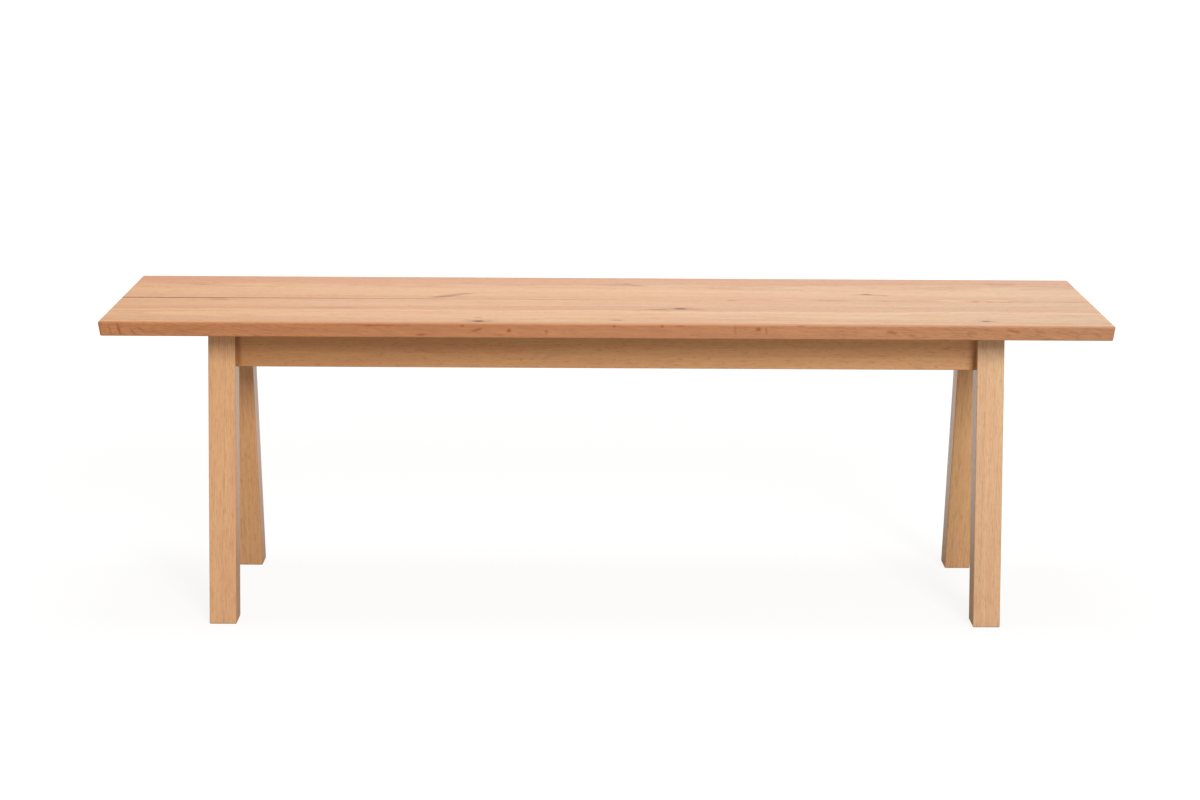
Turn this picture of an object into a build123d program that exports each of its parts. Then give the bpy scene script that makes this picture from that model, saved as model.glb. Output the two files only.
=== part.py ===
from build123d import *
import os
from math import atan, cos, degrees, radians, sqrt, tan

# An oak bench: a seat of two planks on a frame with four legs that splay to the front and to the back.
# Millimetres, +X along the seat, +Y to the rear, +Z up, origin on the floor under the seat's centre.

# Seat planks
seat_length = 1503.0
seat_depth = 380.0
seat_height = 472.0
plank_thickness = 22.0
end_undercut = 3.1  # how far an end face leans in on its way down
top_arris = 3.0
bottom_arris = 1.5
corner_easing = 4.0  # plan radius of the seat's four corners
seam_mouth = 3.0  # width of the open joint at the left end
seam_run = 800.0  # how far the open joint reaches in from the left end
seam_corner = 4.0  # bevel of the planks' corners where the open joint ends
seam_arris = 0.8

# Legs
end_overhang = 149.5
foot_spread = 350.0  # over the front and rear feet, on the floor
leg_width = 41.0
leg_depth = 42.0  # square to the leg's own line
splay_angle = 9.0
leg_arris = 1.2
foot_chamfer = 1.3

# Long rails
long_rail_height = 66.7
long_rail_thickness = 18.0
long_rail_setback = 11.7  # outer face behind the legs' faces, at the top of the legs
long_tenon_thickness = 8.0

# Cross rails
cross_rail_height = 60.0
cross_rail_thickness = 18.0
cross_rail_inset = 5.0  # outer face behind the leg's outer face
cross_tenon_length = 26.0
cross_tenon_thickness = 8.0

# Tenons and mortises
tenon_haunch = 10.0  # shoulder above a tenon
tenon_heel = 6.0  # shoulder below a tenon
mortise_clearance = 0.15  # round a tenon, on each side
mortise_end_gap = 1.0  # past a tenon's end
tenon_wall = 3.0  # between a long rail's tenon and the cross rail's tenon beside it
rail_arris = 1.2

# Centre bearer
bearer_width = 50.0
bearer_thickness = 20.0
bearer_tenon_length = 8.0
bearer_tenon_width = 36.0
bearer_tenon_thickness = 9.0
bearer_screw_spread = 76.0  # between its two screws, one in each plank

# Loose spline in the seam, in a stopped groove of each plank
spline_width = 28.0
spline_thickness = 6.0
spline_stop = 60.0  # from the seat's ends to the ends of the grooves
spline_clearance = 0.1
spline_edge_gap = 1.0

# Turn buttons
long_button_place_shares = (-0.5, 0.5)  # of half a long rail
cross_button_spread = 64.0
button_length = 34.0
button_width = 26.0
button_standoff = 2.0  # free space between a button and its rail
button_chamfer = 4.0
tongue_engagement = 7.5
tongue_thickness = 8.0
tongue_play = 0.3  # under the wood that the tongue pulls on
tongue_end_gap = 2.5
tongue_side_gap = 2.0
tongue_drop = 11.0  # from a rail's top edge to the top of its button mortise

# Wood screws
shank_radius = 2.0
head_radius = 4.1
head_cone = 2.6
screw_bite_share = 0.6  # of the plank's thickness
screw_tip = 4.0
screw_clearance = 0.1
shank_clearance = 0.3  # in the piece that a screw holds down
pilot_end_gap = 1.0

cut_overrun = 5.0

# Worked out from the sizes above
underside = seat_height - plank_thickness
half_seat = seat_length / 2
plank_width = seat_depth / 2
frame_half = half_seat - end_overhang
leg_inner = frame_half - leg_width
lean = tan(radians(splay_angle))
leg_depth_level = leg_depth / cos(radians(splay_angle))
long_rail_outer = foot_spread / 2 - underside * lean - long_rail_setback
long_rail_inner = long_rail_outer - long_rail_thickness
cross_rail_outer = frame_half - cross_rail_inset
cross_rail_inner = cross_rail_outer - cross_rail_thickness
cross_rail_middle = (cross_rail_outer + cross_rail_inner) / 2
long_tenon_end = cross_rail_middle - cross_tenon_thickness / 2 - tenon_wall
button_height = tongue_drop + tongue_play + tongue_thickness
screw_length = button_height + plank_thickness * screw_bite_share


def block(low, high):
    """A box from its lowest corner to its highest."""
    size = [h - l for l, h in zip(low, high)]
    middle = [(h + l) / 2 for l, h in zip(low, high)]
    return Pos(*middle) * Box(*size)


def leg_face(height):
    """How far the outward face of a rear leg stands from the centre line at a height."""
    return foot_spread / 2 - height * lean


def shoulder(height):
    """How far the inward face of a rear leg stands from the centre line at a height."""
    return leg_face(height) - leg_depth_level


def along_x(points, length):
    """A prism from x = 0 along X, with its section given as points (y, z)."""
    return extrude(Plane.YZ * Polygon(*points, align=None), amount=length, dir=(1, 0, 0))


def long_tenon(grow, end_gap):
    """The tenon at the right end of the rear long rail, grown for its mortise."""
    middle = (long_rail_inner + long_rail_outer) / 2
    half = long_tenon_thickness / 2 + grow
    bottom = underside - long_rail_height + tenon_heel - grow
    top = underside - tenon_haunch + grow
    return block((leg_inner - end_gap, middle - half, bottom),
                 (long_tenon_end + end_gap, middle + half, top))


def cross_tenon(grow, end_gap):
    """The tenon at the rear end of the right cross rail, its end parallel to the leg."""
    bottom = underside - cross_rail_height + tenon_heel - grow
    top = underside - tenon_haunch + grow
    reach = cross_tenon_length + end_gap
    points = [(shoulder(bottom) - end_gap, bottom), (shoulder(bottom) + reach, bottom),
              (shoulder(top) + reach, top), (shoulder(top) - end_gap, top)]
    width = cross_tenon_thickness + 2 * grow
    return Pos(cross_rail_middle - width / 2, 0, 0) * along_x(points, width)


def leg():
    """The rear right leg: leaning stock, cut level at both ends, with its two mortises."""
    points = [(shoulder(0), 0), (leg_face(0), 0), (leg_face(underside), underside),
              (shoulder(underside), underside)]
    body = Pos(leg_inner, 0, 0) * along_x(points, leg_width)
    sole = body.faces().sort_by(Axis.Z)[0]
    body = chamfer(sole.edges(), foot_chamfer)
    long_edges = [e for e in body.edges() if e.length > underside / 2]
    body = fillet(long_edges, leg_arris)
    body -= long_tenon(mortise_clearance, mortise_end_gap)
    body -= cross_tenon(mortise_clearance, mortise_end_gap)
    return body


def button_mortise():
    """The blind slot for a button's tongue, opening at local x = 0 and going into the wood along +x."""
    top = -tongue_drop
    bottom = top - tongue_play - tongue_thickness - tongue_play
    half = button_width / 2 + tongue_side_gap
    return block((-cut_overrun, -half, bottom), (tongue_engagement + tongue_end_gap, half, top))


def long_button_seats(side):
    """The buttons' places on a long rail's inner face, at the seat's underside, local +x into the rail."""
    return [Pos(share * leg_inner, side * long_rail_inner, underside) * Rot(0, 0, side * 90)
            for share in long_button_place_shares]


def cross_button_seats(side):
    """The buttons' places on a cross rail's inner face, at the seat's underside, local +x into the rail."""
    turn = 0 if side > 0 else 180
    return [Pos(side * cross_rail_inner, half * cross_button_spread / 2, underside) * Rot(0, 0, turn)
            for half in (-1, 1)]


def button_seats():
    """Every button's place: front rail, rear rail, left cross rail, right cross rail."""
    return long_button_seats(-1) + long_button_seats(1) + cross_button_seats(-1) + cross_button_seats(1)


def long_rail():
    """The rear long rail: a board on edge, with stub tenons and mortises for the bearer and buttons."""
    bottom = underside - long_rail_height
    body = block((-leg_inner, long_rail_inner, bottom), (leg_inner, long_rail_outer, underside))
    lower_edges = body.faces().sort_by(Axis.Z)[0].edges().filter_by(Axis.X)
    body = fillet(lower_edges, rail_arris)
    tenon = long_tenon(0, 0)
    body += tenon
    body += mirror(tenon, about=Plane.YZ)
    body -= bearer_tenon(mortise_clearance, mortise_end_gap)
    for place in long_button_seats(1):
        body -= place * button_mortise()
    return body


def cross_rail():
    """The right cross rail: its shoulders follow the leaning legs."""
    bottom = underside - cross_rail_height
    points = [(-shoulder(bottom), bottom), (shoulder(bottom), bottom), (shoulder(underside), underside),
              (-shoulder(underside), underside)]
    body = Pos(cross_rail_inner, 0, 0) * along_x(points, cross_rail_thickness)
    lower_edges = body.faces().sort_by(Axis.Z)[0].edges().filter_by(Axis.Y)
    body = fillet(lower_edges, rail_arris)
    tenon = cross_tenon(0, 0)
    body += tenon
    body += mirror(tenon, about=Plane.XZ)
    for place in cross_button_seats(1):
        body -= place * button_mortise()
    return body


def bearer_tenon(grow, end_gap):
    """The tenon at the bearer's rear end, grown for its mortise."""
    middle = underside - bearer_thickness / 2
    half_width = bearer_tenon_width / 2 + grow
    half_thickness = bearer_tenon_thickness / 2 + grow
    return block((-half_width, long_rail_inner - end_gap, middle - half_thickness),
                 (half_width, long_rail_inner + bearer_tenon_length + end_gap, middle + half_thickness))


def bearer_screw_places():
    """The bearer's two screws, at the bearer's underside."""
    return [Pos(0, side * bearer_screw_spread / 2, underside - bearer_thickness) for side in (-1, 1)]


def centre_bearer():
    """The flat bearer under the seat's middle, with its two countersunk holes."""
    body = block((-bearer_width / 2, -long_rail_inner, underside - bearer_thickness),
                 (bearer_width / 2, long_rail_inner, underside))
    lower_edges = body.faces().sort_by(Axis.Z)[0].edges().filter_by(Axis.Y)
    body = chamfer(lower_edges, rail_arris)
    tenon = bearer_tenon(0, 0)
    body += tenon
    body += mirror(tenon, about=Plane.XZ)
    for place in bearer_screw_places():
        body -= place * screw_hole(bearer_thickness)
    return body


def plank(side):
    """One seat plank, the front one for side -1 and the rear one for side 1."""
    foot = half_seat - end_undercut
    outline = [(-half_seat, seat_height), (half_seat, seat_height), (foot, underside), (-foot, underside)]
    body = extrude(Plane.XZ * Polygon(*outline, align=None), amount=plank_width, dir=(0, side, 0))
    edge_face = body.faces().sort_by(Axis.Y)[-1 if side > 0 else 0]
    body = fillet(edge_face.edges().filter_by(Axis.X, reverse=True), corner_easing)
    for index, arris in ((-1, top_arris), (0, bottom_arris)):
        flat = body.faces().sort_by(Axis.Z)[index]
        away_from_seam = [e for e in flat.edges() if abs(e.center().Y) > corner_easing]
        body = fillet(away_from_seam, arris)
    body -= seam_opening(side)
    body -= seam_easing(side)
    body -= spline(spline_clearance, spline_edge_gap)
    for place in screw_places():
        body -= place * pilot_hole()
    return body


def seam_opening(side):
    """The wedge by which a plank's seam edge draws back to the left, bevelled at the plank's end."""
    start = -half_seat + seam_run
    bevel_start = -half_seat + seam_corner
    end = -half_seat - cut_overrun
    mouth = seam_mouth / 2 * (start - bevel_start) / seam_run
    bevelled = mouth + seam_corner + cut_overrun
    outline = [(start, 0), (end, 0), (end, side * bevelled), (bevel_start, side * mouth)]
    height = plank_thickness + 2 * cut_overrun
    wedge = Polygon(*outline, align=None)
    return Pos(0, 0, underside - cut_overrun) * extrude(wedge, amount=height, dir=(0, 0, 1))


def seam_easing(side):
    """The bar, set on its corner, that takes the arris off a plank's seam edge, along both its runs."""
    bar = Rot(45, 0, 0) * Box(2 * seat_length, seam_arris * sqrt(2), seam_arris * sqrt(2))
    start = Pos(-half_seat + seam_run, 0, seat_height)
    slant = degrees(atan(seam_mouth / 2 / seam_run))
    closed_run = start * Pos(seat_length, 0, 0) * bar
    open_run = start * Rot(0, 0, -side * slant) * Pos(-seat_length, 0, 0) * bar
    return closed_run + open_run


def spline(grow, edge_gap):
    """The loose spline that lines up the planks, halfway through them, grown for its grooves."""
    half_length = half_seat - spline_stop + edge_gap
    half_width = spline_width / 2 + edge_gap
    half_thickness = spline_thickness / 2 + grow
    middle = underside + plank_thickness / 2
    return block((-half_length, -half_width, middle - half_thickness),
                 (half_length, half_width, middle + half_thickness))


def button_screw_places():
    """The button screws, at the buttons' undersides."""
    back = -button_standoff - button_length / 2
    return [place * Pos(back, 0, -button_height) for place in button_seats()]


def button():
    """A turn button: a block screwed to the plank, with a tongue for the rail's mortise."""
    front = -button_standoff
    back = front - button_length
    tongue_top = -tongue_drop - tongue_play
    outline = [(back, 0), (front, 0), (front, tongue_top), (tongue_engagement, tongue_top),
               (tongue_engagement, -button_height), (back + button_chamfer, -button_height),
               (back, button_chamfer - button_height)]
    body = extrude(Plane.XZ * Polygon(*outline, align=None), amount=button_width / 2, both=True)
    return body - Pos(front - button_length / 2, 0, -button_height) * screw_hole(button_height)


def turned(outline):
    """A solid turned about Z from points given as (radius, z)."""
    return revolve(Plane.XZ * Polygon(*outline, align=None), axis=Axis.Z)


def screw_hole(through):
    """The countersunk hole in a piece that a screw holds down, from its underside at local z = 0."""
    wide = head_radius + screw_clearance
    narrow = shank_radius + shank_clearance
    top = head_cone * (wide - narrow) / (head_radius - shank_radius)
    end = through + cut_overrun
    return turned([(0, -cut_overrun), (wide, -cut_overrun), (wide, 0), (narrow, top),
                   (narrow, end), (0, end)])


def screw():
    """A countersunk wood screw, its head flush with local z = 0, pointing up."""
    shank_end = screw_length - screw_tip
    return turned([(0, 0), (head_radius, 0), (shank_radius, head_cone), (shank_radius, shank_end),
                   (0, screw_length)])


def screw_places():
    """Every screw: those of the buttons, then those of the bearer."""
    return button_screw_places() + bearer_screw_places()


def pilot_hole():
    """The hole that a screw fills, from its head upwards. Only its upper end reaches a plank."""
    depth = screw_length + pilot_end_gap
    return Pos(0, 0, depth / 2) * Cylinder(shank_radius + screw_clearance, depth)


def group(places, piece):
    """Copies of one small piece, kept apart in one node."""
    return Compound([place * piece for place in places])


def parts():
    """Every node's name and shape."""
    one_leg = leg()
    one_long_rail = long_rail()
    one_cross_rail = cross_rail()
    yield "seat_plank_front", plank(-1)
    yield "seat_plank_rear", plank(1)
    yield "leg_rear_right", one_leg
    yield "leg_rear_left", mirror(one_leg, about=Plane.YZ)
    yield "leg_front_right", mirror(one_leg, about=Plane.XZ)
    yield "leg_front_left", mirror(mirror(one_leg, about=Plane.XZ), about=Plane.YZ)
    yield "long_rail_rear", one_long_rail
    yield "long_rail_front", mirror(one_long_rail, about=Plane.XZ)
    yield "cross_rail_right", one_cross_rail
    yield "cross_rail_left", mirror(one_cross_rail, about=Plane.YZ)
    yield "centre_bearer", centre_bearer()
    one_button = button()
    for number, place in enumerate(button_seats(), start=1):
        yield f"turn_button_{number}", place * one_button
    yield "seam_spline", spline(0, 0)
    yield "seat_screws", group(screw_places(), screw())


os.makedirs("parts", exist_ok=True)
for name, shape in parts():
    export_step(shape, f"parts/{name}.step")
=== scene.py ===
"""Studio scene of an oak bench: two planks on a mortised frame with splayed square legs.

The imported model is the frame. Its nodes keep their shapes and get oak finishes here,
and the plain screws are replaced by threaded ones with a cross recess.
"""

import logging
import math
from dataclasses import dataclass, replace
from enum import Enum

import bpy
import numpy as np
from mathutils import Matrix, Vector


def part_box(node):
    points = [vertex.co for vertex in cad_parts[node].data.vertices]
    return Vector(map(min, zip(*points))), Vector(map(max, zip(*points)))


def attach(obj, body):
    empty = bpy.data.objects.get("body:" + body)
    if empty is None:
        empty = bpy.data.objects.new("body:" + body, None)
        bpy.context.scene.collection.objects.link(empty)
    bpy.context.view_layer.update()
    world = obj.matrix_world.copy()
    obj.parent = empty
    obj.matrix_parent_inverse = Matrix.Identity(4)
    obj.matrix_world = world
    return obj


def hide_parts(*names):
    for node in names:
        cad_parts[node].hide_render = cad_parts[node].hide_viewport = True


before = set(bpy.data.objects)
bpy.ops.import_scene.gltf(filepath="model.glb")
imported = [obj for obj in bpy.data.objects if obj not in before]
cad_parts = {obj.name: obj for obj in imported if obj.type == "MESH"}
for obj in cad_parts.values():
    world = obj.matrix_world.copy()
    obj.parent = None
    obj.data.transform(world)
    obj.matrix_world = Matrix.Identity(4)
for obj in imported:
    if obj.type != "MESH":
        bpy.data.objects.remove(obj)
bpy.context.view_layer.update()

log = logging.getLogger("bench")

Triple = tuple[float, float, float]
Socket = bpy.types.NodeSocket
Value = Socket | float | Triple

MILLIMETRE = 0.001
SPLAY = math.radians(9)


class Cut(Enum):
    """Direction in which a board's fibres run, and which of its faces is the broad one."""

    FLAT_ALONG = ((1.0, 0.0, 0.0), (0.0, 1.0, 0.0))
    FLAT_ACROSS = ((0.0, 1.0, 0.0), (1.0, 0.0, 0.0))
    LONG_RAIL = ((1.0, 0.0, 0.0), (0.0, 0.0, 1.0))
    CROSS_RAIL = ((0.0, 1.0, 0.0), (0.0, 0.0, 1.0))
    FRONT_LEG = ((0.0, math.sin(SPLAY), math.cos(SPLAY)), (1.0, 0.0, 0.0))
    REAR_LEG = ((0.0, -math.sin(SPLAY), math.cos(SPLAY)), (1.0, 0.0, 0.0))

    def turn(self) -> Matrix:
        """Turn whose columns are the fibre, broad and thin directions."""
        along, across = (Vector(axis) for axis in self.value)
        return Matrix((along, across, along.cross(across))).transposed()


def shown(red: float, green: float, blue: float) -> Triple:
    """Turns a colour as a screen shows it into the linear one that a shader takes.

    Each channel goes through the inverse of the display curve, which is a straight
    line near black and a power of 2.4 above it.

    Args:
        red, green, blue: The channels, 0 to 255.

    Returns:
        The linear colour.
    """
    channels = np.array((red, green, blue)) / 255
    low = channels / 12.92
    high = ((channels + 0.055) / 1.055) ** 2.4
    return tuple(float(c) for c in np.where(channels <= 0.04045, low, high))


class Graph:
    """A node tree, with one short call for each kind of node that the materials use."""

    SEED_STEP = (3.7, 5.9, 7.3)
    SEED_START = (11.3, 4.1, 23.7)
    WARP_STEP = (2.3, 1.0, 4.1)

    def __init__(self, tree: bpy.types.NodeTree) -> None:
        """Takes the node tree of a material or a world and empties it."""
        self.tree = tree
        self.tree.nodes.clear()

    def node(self, kind: str, inputs: dict[str | int, Value] | None = None,
             **settings: str) -> bpy.types.Node:
        """Adds a node.

        Args:
            kind: Node type, without its common beginning.
            inputs: What its inputs take, by their names or numbers.
            settings: Properties of the node.

        Returns:
            The new node.
        """
        made = self.tree.nodes.new("ShaderNode" + kind)
        for name, value in settings.items():
            setattr(made, name, value)
        for key, value in (inputs or {}).items():
            self.feed(made.inputs[key], value)
        return made

    def feed(self, socket: Socket, value: Value) -> None:
        """Links a socket to another one, or writes a plain value on it.

        Args:
            socket: Input socket.
            value: Output socket, number or triple.
        """
        if isinstance(value, Socket):
            self.tree.links.new(value, socket)
        elif socket.type == "RGBA":
            socket.default_value = (*value, 1.0)
        else:
            socket.default_value = value

    def math(self, operation: str, *values: Value) -> Socket:
        """Result of a Math node with these inputs in order."""
        return self.node("Math", dict(enumerate(values)), operation=operation).outputs[0]

    def times(self, value: Value, factor: Value) -> Socket:
        """Product of two numbers."""
        return self.math("MULTIPLY", value, factor)

    def centred(self, noise: Value, width: float) -> Socket:
        """Noise stretched to this whole width around zero."""
        return self.math("MULTIPLY_ADD", noise, width, -width / 2)

    def total(self, *values: Value) -> Socket:
        """Sum of several numbers.

        Args:
            values: The numbers, of which the first may stand alone.

        Returns:
            Their sum.
        """
        result = values[0]
        for value in values[1:]:
            result = self.math("ADD", result, value)
        return result

    def rise(self, value: Value, low: float, high: float, start: float = 0.0, end: float = 1.0,
             shape: str = "SMOOTHSTEP") -> Socket:
        """Carries a value from one level to another, smoothly or in a straight line.

        Args:
            value: Number that varies over the surface.
            low, high: Its values at which the result leaves start and reaches end.
            start, end: The two levels.
            shape: Name of the curve between them.

        Returns:
            The result.
        """
        inputs = dict(enumerate((value, low, high, start, end)))
        return self.node("MapRange", inputs, interpolation_type=shape).outputs[0]

    def vector(self, operation: str, *values: Value) -> Socket:
        """Result of a Vector Math node: a number for a length or a dot product."""
        made = self.node("VectorMath", dict(enumerate(values)), operation=operation)
        return made.outputs["Value" if operation in ("LENGTH", "DOT_PRODUCT") else "Vector"]

    def scaled(self, vector: Value, share: Value) -> Socket:
        """A vector or colour times a number."""
        return self.node("VectorMath", {0: vector, "Scale": share}, operation="SCALE").outputs[0]

    def split(self, vector: Value) -> list[Socket]:
        """Three parts of a vector."""
        return list(self.node("SeparateXYZ", {0: vector}).outputs)

    def join(self, *parts: Value) -> Socket:
        """Vector of three parts."""
        return self.node("CombineXYZ", dict(enumerate(parts))).outputs[0]

    def mix(self, share: Value, first: Value, second: Value) -> Socket:
        """The first colour at share zero, the second at share one and their mix between."""
        return self.node("Mix", {0: share, 6: first, 7: second}, data_type="RGBA").outputs[2]

    def local(self, place: Value, middle: Triple, turn: Triple, unit: Triple) -> Socket:
        """A place read from another middle, in turned directions and other units."""
        inputs = {"Vector": place, "Location": middle, "Rotation": turn, "Scale": unit}
        return self.node("Mapping", inputs, vector_type="TEXTURE").outputs["Vector"]

    def surface_place(self) -> Socket:
        """Place on the bench in metres."""
        return self.node("TexCoord").outputs["Object"]

    def bench_place(self) -> Socket:
        """Place on the bench in millimetres."""
        return self.scaled(self.surface_place(), 1 / MILLIMETRE)

    def blobs(self, place: Value, grain: Triple, shift: Triple, detail: float,
              roughness: float = 0.5) -> bpy.types.Node:
        """Adds a noise node.

        Args:
            place: Place in millimetres.
            grain: Size of a blob of the noise in millimetres in each direction.
            shift: Way to another part of the noise, in blobs.
            detail, roughness: Number and strength of the octaves of finer noise.

        Returns:
            The node.
        """
        moved = self.vector("MULTIPLY_ADD", place, tuple(1 / size for size in grain), shift)
        return self.node("TexNoise", {
            "Vector": moved, "Scale": 1.0, "Detail": detail, "Roughness": roughness})

    def noise(self, place: Value, grain: Triple, seed: float, detail: float = 2.0,
              roughness: float = 0.5) -> Socket:
        """Noise around one half, of which each seed picks another part."""
        shift = tuple(seed * step + start for step, start in zip(self.SEED_STEP, self.SEED_START))
        return self.blobs(place, grain, shift, detail, roughness).outputs[0]

    def warped(self, place: Value, grain: Triple, seed: float, sway: Triple) -> Socket:
        """Moves each place a little by slow noise, so that straight patterns wander.

        Args:
            place: Place in millimetres.
            grain, seed: Blob size of the noise and what picks its part.
            sway: Whole width of the sway in each direction.

        Returns:
            The moved place.
        """
        blobs = self.blobs(place, grain, tuple(seed * step for step in self.WARP_STEP), 1.0)
        offset = self.vector("SUBTRACT", blobs.outputs["Color"], (0.5, 0.5, 0.5))
        return self.vector("MULTIPLY_ADD", offset, sway, place)

    def finish(self, look: dict[str, Value], relief: Value, strength: float, depth: float) -> None:
        """Ends the tree in one shader with a relief.

        Args:
            look: What the shader's inputs take, by their names.
            relief: Height of the relief, in shares of its depth.
            strength, depth: Its strength, and its depth in millimetres.
        """
        bump = self.node("Bump", {
            "Height": relief, "Strength": strength, "Distance": depth * MILLIMETRE})
        shader = self.node("BsdfPrincipled", {**look, "Normal": bump.outputs[0]})
        self.node("OutputMaterial", {"Surface": shader.outputs[0]})


def new_material(name: str) -> tuple[bpy.types.Material, Graph]:
    """A new material and the graph of its empty node tree."""
    made = bpy.data.materials.new(name)
    made.use_nodes = True
    return made, Graph(made.node_tree)


def placed(name: str, data: bpy.types.ID) -> bpy.types.Object:
    """A new object of the scene with this data."""
    made = bpy.data.objects.new(name, data)
    bpy.context.scene.collection.objects.link(made)
    return made


class Stain(Enum):
    """Colour of a mark in the wood."""

    KNOT = shown(92, 66, 52)
    GREY = shown(140, 101, 87)
    BROWN = shown(146, 94, 62)
    RED = shown(165, 93, 59)
    PALE = shown(240, 200, 150)


class Face(Enum):
    """Face of the seat that carries a mark: the turn that its slant makes there."""

    TOP = (0.0, 0.0, 1.0)
    EDGE = (0.0, -1.0, 0.0)


@dataclass(frozen=True)
class Mark:
    """A knot, smudge or small streak.

    Attributes:
        stain: Its colour.
        face: The face that it lies on.
        at: Its middle on that face, in millimetres: X and Y on the top, X and Z on the edge.
        reach: Half its length and half its width.
        share: How much of its colour shows at its middle.
        slant: How it rises to the right, in degrees.
        swirl: How far it pushes the rings aside, in millimetres.
    """

    stain: Stain
    face: Face
    at: tuple[float, float]
    reach: tuple[float, float]
    share: float
    slant: float = 0.0
    swirl: float = 0.0


@dataclass(frozen=True)
class Band:
    """A strip of another tone that runs along a plank.

    Attributes:
        middle: Its Y on the seat, in millimetres.
        reach: Half its width.
        rosy: Share of the rosy colour, or below zero, of the straw colour.
        light: How much lighter it is.
    """

    middle: float
    reach: float
    rosy: float
    light: float


@dataclass(frozen=True)
class Board:
    """How one board was sawn from its log.

    Attributes:
        node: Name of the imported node.
        cut: Direction of its fibres.
        pith: Place of the log's centre from the board's middle, across and through it.
        ring: Spacing of the growth rings.
        rise: Slope of the log's centre line against the board, across and through it.
        seed: Number that tells its noise from another board's.
        tint, far_tint: What its finish is multiplied by at its two ends.
        sway: How far its grain wanders, in millimetres.
        bands, marks: Strips of another tone, and the knots and streaks on its faces.
    """

    node: str
    cut: Cut
    pith: tuple[float, float]
    ring: float
    rise: tuple[float, float]
    seed: float
    tint: Triple = (1.0, 1.0, 1.0)
    far_tint: Triple = (1.0, 1.0, 1.0)
    sway: float = 1.5
    bands: tuple[Band, ...] = ()
    marks: tuple[Mark, ...] = ()


@dataclass(frozen=True)
class OakFinish:
    """Colours and sheen of oiled oak. Colours are linear, depths in millimetres.

    Attributes:
        name: Name of the finish.
        late, early: Dense and open wood of a ring.
        rosy, straw: Pinkish and yellowish patches.
        pore, fleck: Open pores and ray flecks.
        row: Short rows of pores, seen from afar.
        end: Sawn ends, which drink more oil.
        edge, edge_share: Darker tint of the narrow faces and how much of it they take, partly the
            wood's tone and partly painted shade on faces turned from the light.
        rough: Roughness of the oiled surface.
        gloss: Strength of its reflection, one half for bare varnish.
        patch, figure, dash: Strength of the patches, the rings and the short rows.
        dash_size: Length and width of such a row.
        relief: Depth of the open grain.
    """

    name: str
    late: Triple
    early: Triple
    rosy: Triple
    straw: Triple
    pore: Triple
    fleck: Triple
    row: Triple
    end: Triple
    edge: Triple
    edge_share: float
    rough: float
    gloss: float
    patch: float
    figure: float
    dash: float
    dash_size: tuple[float, float]
    relief: float


SEAT_OAK = OakFinish(
    name="seat_oak",
    late=shown(225, 177, 137),
    early=shown(211, 158, 119),
    rosy=shown(222, 160, 124),
    straw=shown(228, 184, 142),
    pore=shown(150, 98, 62),
    fleck=shown(186, 122, 84),
    row=shown(176, 112, 72),
    end=shown(168, 112, 70),
    # Partly painted shade on the seat's front and back faces, turned from the top light.
    edge=shown(195, 129, 87),
    edge_share=0.9,
    rough=0.5,
    gloss=0.28,
    patch=0.6,
    figure=0.45,
    dash=0.25,
    dash_size=(18, 1.6),
    relief=0.12,
)
FRAME_OAK = OakFinish(
    name="frame_oak",
    late=shown(222, 172, 126),
    early=shown(206, 152, 106),
    rosy=shown(216, 156, 114),
    straw=shown(224, 178, 126),
    pore=shown(170, 114, 76),
    fleck=shown(190, 132, 90),
    row=shown(189, 127, 84),
    end=shown(170, 118, 76),
    # Partly painted shade on the narrow faces of the frame.
    edge=shown(200, 144, 98),
    edge_share=0.7,
    rough=0.34,
    gloss=0.6,
    patch=0.5,
    figure=0.35,
    dash=0.42,
    dash_size=(22, 1.1),
    relief=0.12,
)
BUTTON_OAK = replace(FRAME_OAK, name="button_oak", late=shown(214, 168, 122), patch=0.3)
SPLINE_OAK = replace(FRAME_OAK, name="spline_oak", late=shown(206, 156, 108), figure=0.5)


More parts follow.
